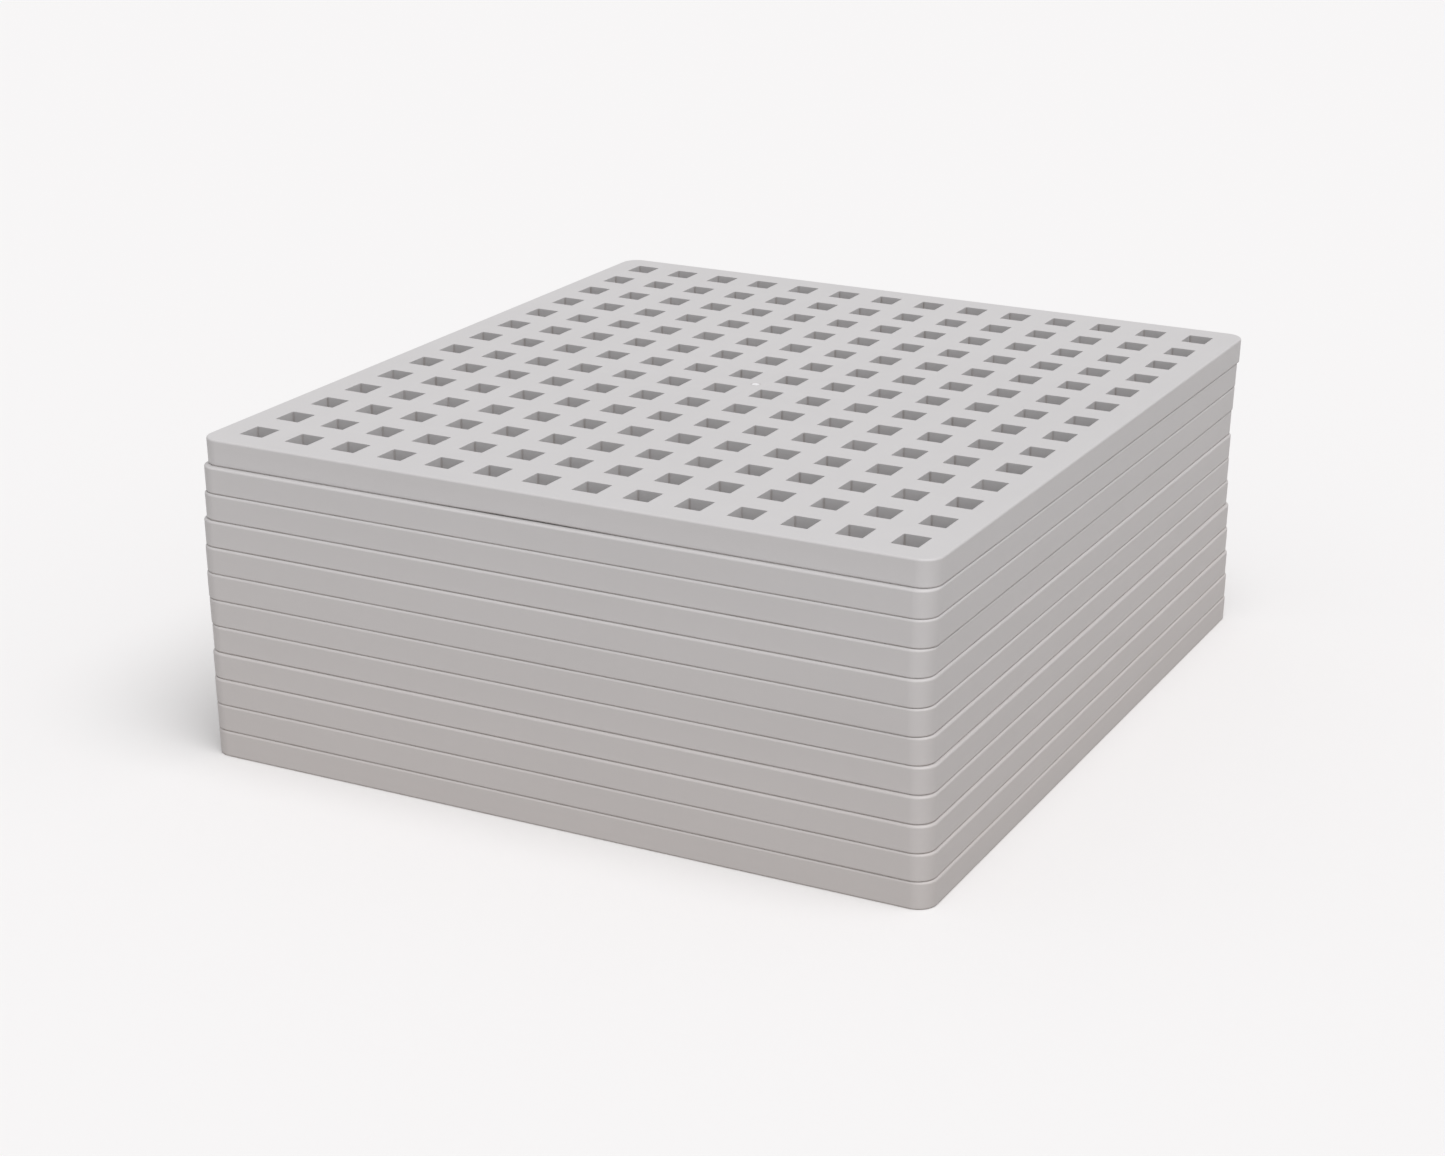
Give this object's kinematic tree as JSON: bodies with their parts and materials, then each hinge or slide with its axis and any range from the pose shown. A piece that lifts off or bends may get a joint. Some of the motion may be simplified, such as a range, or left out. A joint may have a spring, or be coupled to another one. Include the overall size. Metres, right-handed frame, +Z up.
{
  "type": "stack of perforated hive panels",
  "caption": "Rectangular moulded plastic grid panels with square through holes and rounded corners, stacked loose one on another so that each lifts off.",
  "frame": {"origin": "centre of the bottom panel's underside, on the plane that the stack stands on", "axes": "+Z up through the stack, +Y along the panels' longer side, +X along their shorter side"},
  "size_m": [0.4586, 0.5104, 0.1872],
  "materials": {
    "panel_plastic": "satin moulded polypropylene, light warm grey"
  },
  "bodies": {
    "grid_panel_01": {"grid_panel_01": "panel_plastic"},
    "grid_panel_02": {"grid_panel_02": "panel_plastic"},
    "grid_panel_03": {"grid_panel_03": "panel_plastic"},
    "grid_panel_04": {"grid_panel_04": "panel_plastic"},
    "grid_panel_05": {"grid_panel_05": "panel_plastic"},
    "grid_panel_06": {"grid_panel_06": "panel_plastic"},
    "grid_panel_07": {"grid_panel_07": "panel_plastic"},
    "grid_panel_08": {"grid_panel_08": "panel_plastic"},
    "grid_panel_09": {"grid_panel_09": "panel_plastic"},
    "grid_panel_10": {"grid_panel_10": "panel_plastic"},
    "grid_panel_11": {"grid_panel_11": "panel_plastic"},
    "grid_panel_12": {"grid_panel_12": "panel_plastic"}
  },
  "joints": [
    {"name": "lift_panel_02", "type": "slide", "parent": "grid_panel_01", "child": "grid_panel_02", "axis": [0, 0, 1], "range_m": [0, 0.05]},
    {"name": "lift_panel_03", "type": "slide", "parent": "grid_panel_02", "child": "grid_panel_03", "axis": [0, 0, 1], "range_m": [0, 0.05]},
    {"name": "lift_panel_04", "type": "slide", "parent": "grid_panel_03", "child": "grid_panel_04", "axis": [0, 0, 1], "range_m": [0, 0.05]},
    {"name": "lift_panel_05", "type": "slide", "parent": "grid_panel_04", "child": "grid_panel_05", "axis": [0, 0, 1], "range_m": [0, 0.05]},
    {"name": "lift_panel_06", "type": "slide", "parent": "grid_panel_05", "child": "grid_panel_06", "axis": [0, 0, 1], "range_m": [0, 0.05]},
    {"name": "lift_panel_07", "type": "slide", "parent": "grid_panel_06", "child": "grid_panel_07", "axis": [0, 0, 1], "range_m": [0, 0.05]},
    {"name": "lift_panel_08", "type": "slide", "parent": "grid_panel_07", "child": "grid_panel_08", "axis": [0, 0, 1], "range_m": [0, 0.05]},
    {"name": "lift_panel_09", "type": "slide", "parent": "grid_panel_08", "child": "grid_panel_09", "axis": [0, 0, 1], "range_m": [0, 0.05]},
    {"name": "lift_panel_10", "type": "slide", "parent": "grid_panel_09", "child": "grid_panel_10", "axis": [0, 0, 1], "range_m": [0, 0.05]},
    {"name": "lift_panel_11", "type": "slide", "parent": "grid_panel_10", "child": "grid_panel_11", "axis": [0, 0, 1], "range_m": [0, 0.05]},
    {"name": "lift_panel_12", "type": "slide", "parent": "grid_panel_11", "child": "grid_panel_12", "axis": [0, 0, 1], "range_m": [0, 0.05]}
  ]
}
